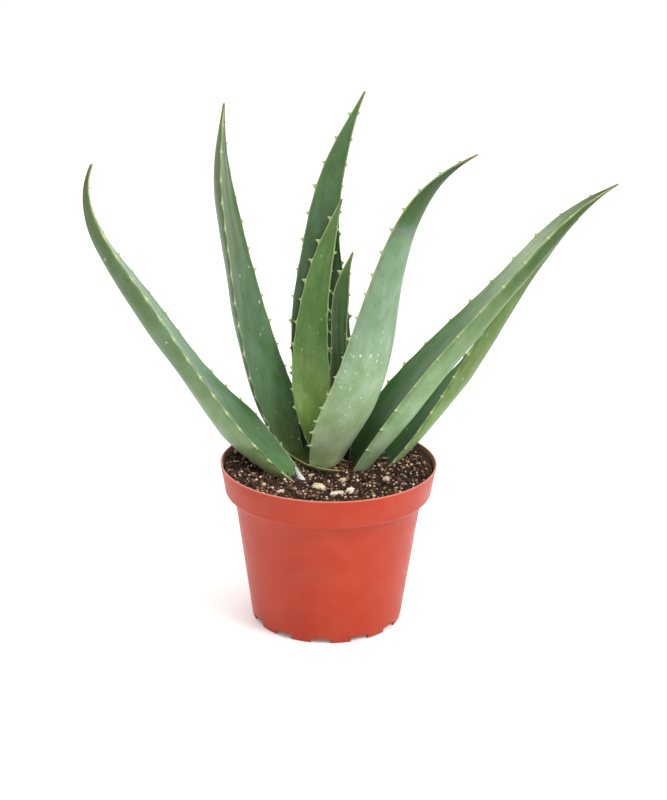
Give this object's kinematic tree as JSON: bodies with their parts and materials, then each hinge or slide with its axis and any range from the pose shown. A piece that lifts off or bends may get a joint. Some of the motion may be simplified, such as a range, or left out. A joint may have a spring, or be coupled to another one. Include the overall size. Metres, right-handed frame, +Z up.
{
  "type": "potted aloe plant",
  "caption": "Aloe rosette of long, tapering, toothed succulent leaves in a round terracotta-coloured plastic nursery pot filled with potting soil.",
  "frame": {"origin": "middle of the pot's foot, on the flat pad in the middle of the pot's underside, in the plane that the pot stands on", "axes": "+Z up along the pot's axis; -Y is the front, where the rosette leaves most soil free; +X is to the right, towards the longest right-hand leaf"},
  "size_m": [0.3102, 0.1646, 0.3053],
  "materials": {
    "pot": "satin moulded terracotta-coloured plastic",
    "potting_soil": "loose matte peat",
    "stem_and_roots": "matte fibrous",
    "leaf_heart": "smooth waxy leaf skin",
    "leaf_centre": "smooth waxy leaf skin",
    "leaf_back_tall": "smooth waxy leaf skin",
    "leaf_front": "smooth waxy leaf skin",
    "leaf_left_high": "smooth waxy leaf skin",
    "leaf_right_high": "smooth waxy leaf skin",
    "leaf_right_low": "smooth waxy leaf skin",
    "leaf_left_low": "smooth waxy leaf skin",
    "perlite": "rough porous mineral"
  },
  "bodies": {
    "root": {"pot": "pot", "potting_soil": "potting_soil", "stem_and_roots": "stem_and_roots", "leaf_heart": "leaf_heart", "leaf_centre": "leaf_centre", "leaf_back_tall": "leaf_back_tall", "leaf_front": "leaf_front", "leaf_left_high": "leaf_left_high", "leaf_right_high": "leaf_right_high", "leaf_right_low": "leaf_right_low", "leaf_left_low": "leaf_left_low", "pebble_01": "perlite", "pebble_02": "perlite", "pebble_03": "perlite", "pebble_04": "perlite", "pebble_05": "perlite", "pebble_06": "perlite", "pebble_07": "perlite", "pebble_08": "perlite", "pebble_09": "perlite", "pebble_10": "perlite", "pebble_11": "perlite", "pebble_12": "perlite"}
  },
  "joints": []
}
